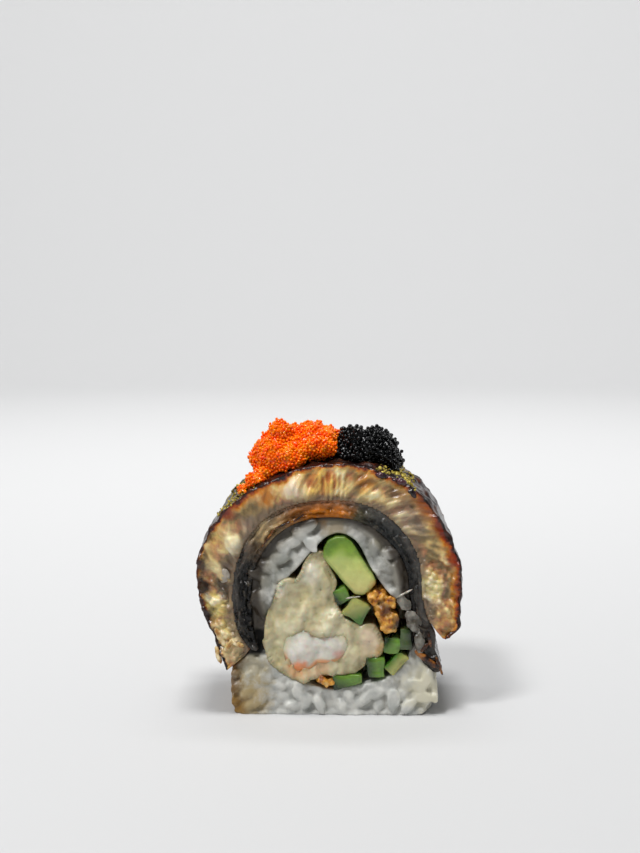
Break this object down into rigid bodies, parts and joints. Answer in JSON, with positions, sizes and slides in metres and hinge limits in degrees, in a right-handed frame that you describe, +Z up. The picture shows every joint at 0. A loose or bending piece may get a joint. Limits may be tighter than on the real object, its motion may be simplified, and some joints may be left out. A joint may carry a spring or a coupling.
{
  "type": "sushi roll slice",
  "caption": "Slice of an eel-topped sushi roll: rice ring on a flat foot, fried prawn, avocado and cucumber in seaweed, eel arched over it, orange and black roe on top.",
  "frame": {"origin": "on the flat face that the rice rests on, under the middle of the eel arch and midway between the two cuts", "axes": "+X to the right across the front cut face, +Y from the front cut to the back cut, +Z up from the rest face to the roe"},
  "size_m": [0.0504, 0.0274, 0.0552],
  "materials": {
    "rice": "moist, translucent, greyish white cooked rice",
    "nori": "damp black-green seaweed sheet",
    "grilled_eel": "cream flaky flesh under a lacquered red-brown crust with charred spots",
    "eel_skin": "wet slate-grey to black skin, amber jelly over the crown",
    "batter": "pale fried batter, moist and doughy at the cut",
    "prawn": "moist lilac-white flesh with an orange-pink edge",
    "avocado": "soft flesh, green at its peel side to yellow-green",
    "cucumber": "wet cut cucumber, dark green at the rind",
    "fried_crumb": "craggy golden-brown fried batter scraps",
    "orange_roe": "tight heap of clear, shiny orange eggs",
    "black_roe": "tight heap of shiny black eggs"
  },
  "bodies": {
    "root": {"rice": "rice", "nori": "nori", "eel": "grilled_eel", "eel_skin": "eel_skin", "batter": "batter", "prawn": "prawn", "avocado": "avocado", "cucumber_1": "cucumber", "cucumber_2": "cucumber", "cucumber_3": "cucumber", "cucumber_4": "cucumber", "cucumber_5": "cucumber", "cucumber_6": "cucumber", "cucumber_7": "cucumber", "crisp_nuggets": "fried_crumb", "crisp_scrap": "fried_crumb", "orange_roe": "orange_roe", "black_roe": "black_roe"}
  },
  "joints": []
}
